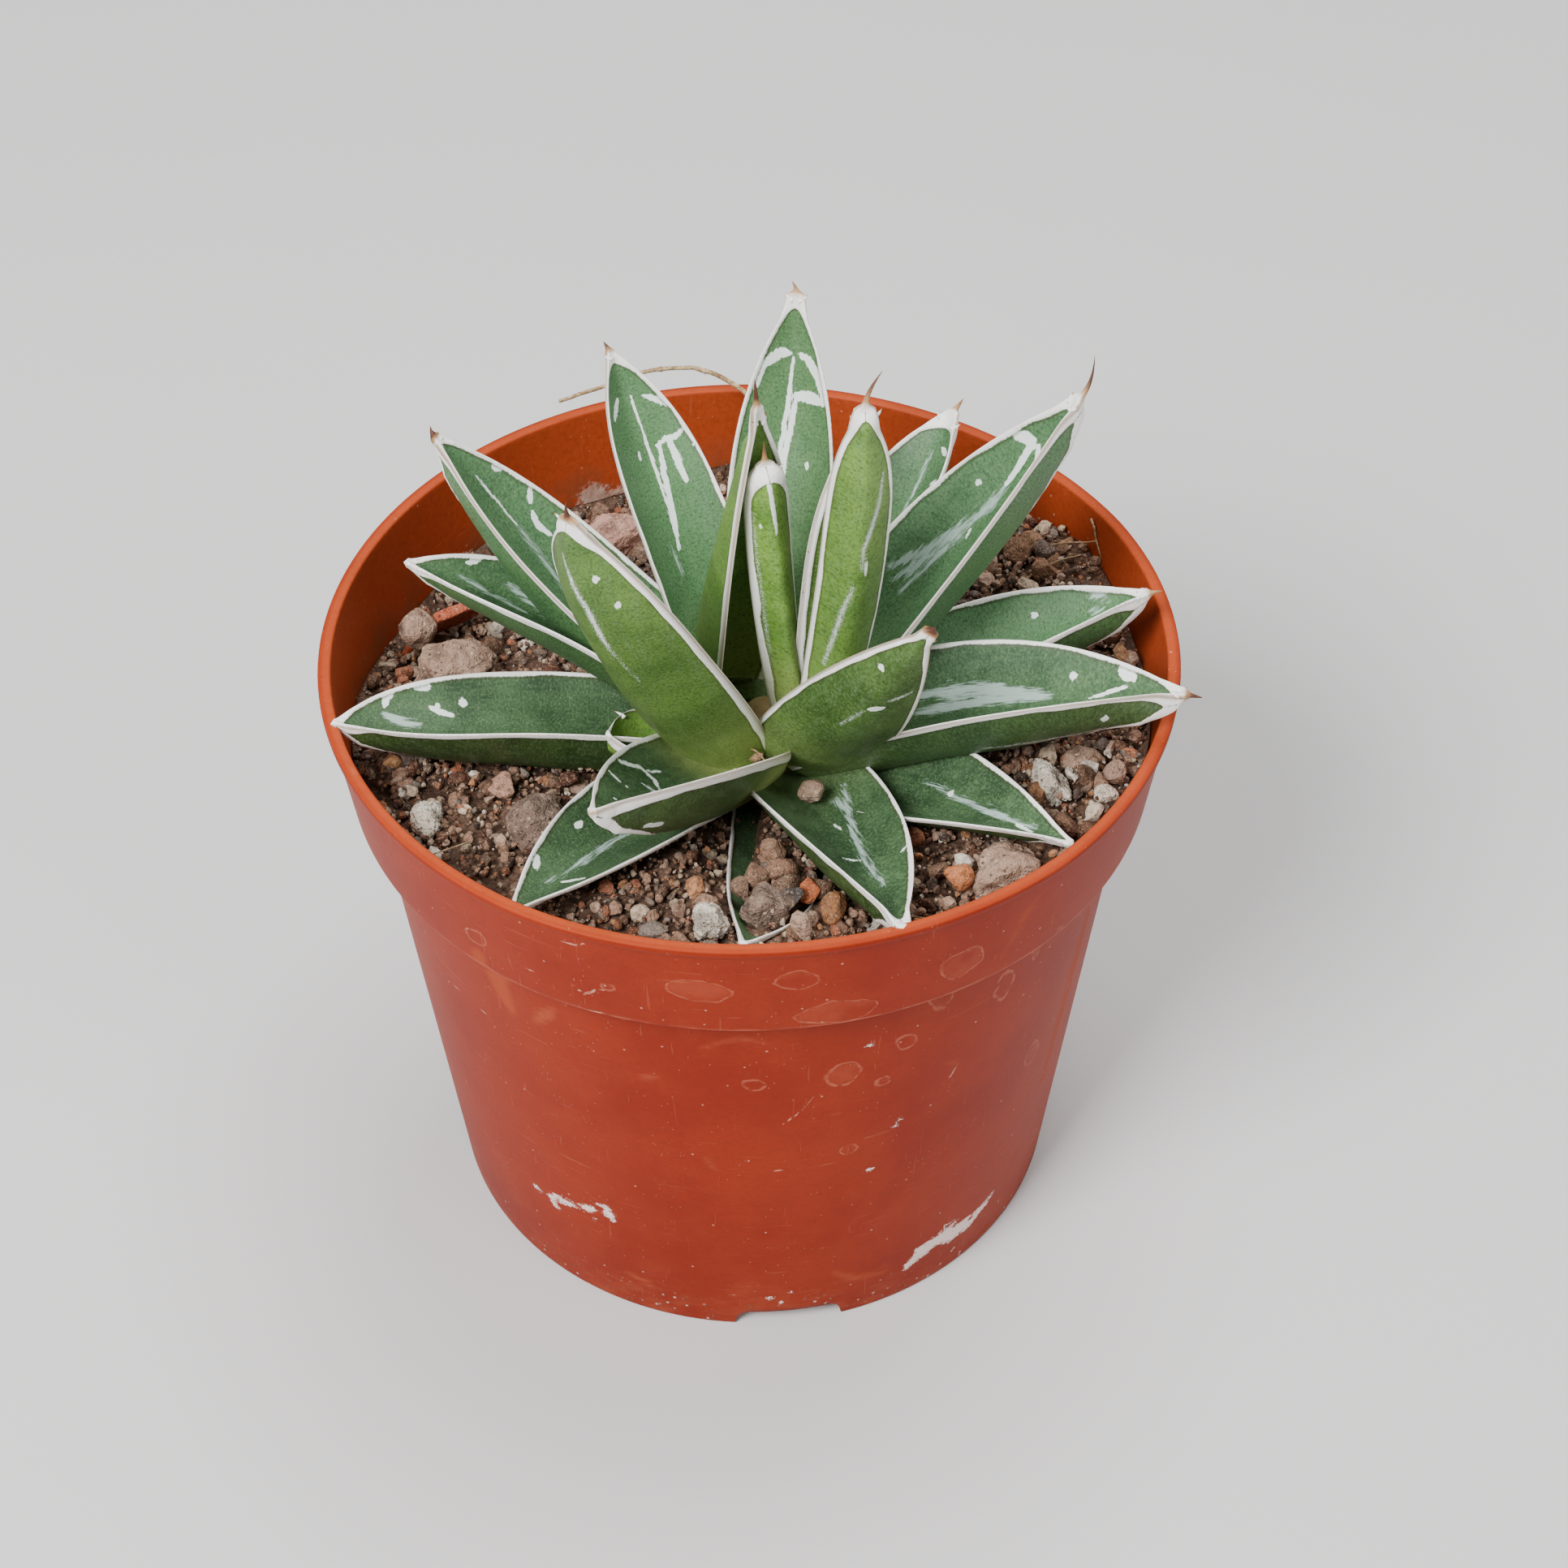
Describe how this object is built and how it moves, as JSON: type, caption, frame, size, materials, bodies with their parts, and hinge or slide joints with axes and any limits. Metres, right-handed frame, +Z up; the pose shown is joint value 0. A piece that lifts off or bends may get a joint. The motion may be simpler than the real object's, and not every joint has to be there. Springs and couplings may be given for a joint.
{
  "type": "potted agave",
  "caption": "Small white-edged agave, a rosette of stiff keeled leaves with horny tips, growing in gritty soil in a round tapered terracotta-coloured plastic nursery pot.",
  "frame": {"origin": "on the pot's axis, in the plane that its foot stands on", "axes": "+Z up along the pot's axis; -Y is the front that the picture shows; +X to the right seen from the front"},
  "size_m": [0.1207, 0.12, 0.1526],
  "materials": {
    "pot": "moulded terracotta-coloured plastic, dusty and scuffed, paler on the lip",
    "soil": "gritty brown potting mix with grey, white and rust-coloured grains",
    "leaf": "waxy grey-green skin with white imprint lines and a white horny edge",
    "young_leaf": "waxy yellow-green skin with a wide white horny edge",
    "dry_stalk": "dry straw-coloured fibre",
    "stone": "rough brown-grey gravel",
    "pumice": "rough off-white pumice",
    "soil_clump": "crumbly clump of potting mix",
    "shard": "broken unglazed terracotta, dusty"
  },
  "bodies": {
    "root": {"pot": "pot", "soil": "soil", "stem": "young_leaf", "bud_leaf_front": "young_leaf", "bud_leaf_rear": "young_leaf", "leaf_inner_right": "leaf", "leaf_upright_right": "leaf", "leaf_front_left_raised": "leaf", "leaf_front_right_raised": "leaf", "leaf_back": "leaf", "leaf_right_back": "leaf", "leaf_left_long": "leaf", "leaf_back_left": "leaf", "leaf_back_right": "leaf", "leaf_right": "leaf", "leaf_right_behind": "leaf", "leaf_front_left_folded": "leaf", "leaf_left_short": "leaf", "leaf_left": "leaf", "leaf_left_behind": "leaf", "leaf_front": "leaf", "leaf_front_left_low": "leaf", "leaf_front_right_low": "leaf", "leaf_front_buried": "leaf", "dry_stalk": "dry_stalk", "stone_left": "stone", "stone_left_small": "stone", "stone_front_left": "stone", "pumice_left": "pumice", "pumice_right": "pumice", "stone_right": "stone", "stone_front_right": "stone", "clump_front": "soil_clump", "pumice_front": "pumice", "stone_axil": "stone", "lump_back_left": "soil_clump", "pot_shard": "shard"}
  },
  "joints": []
}
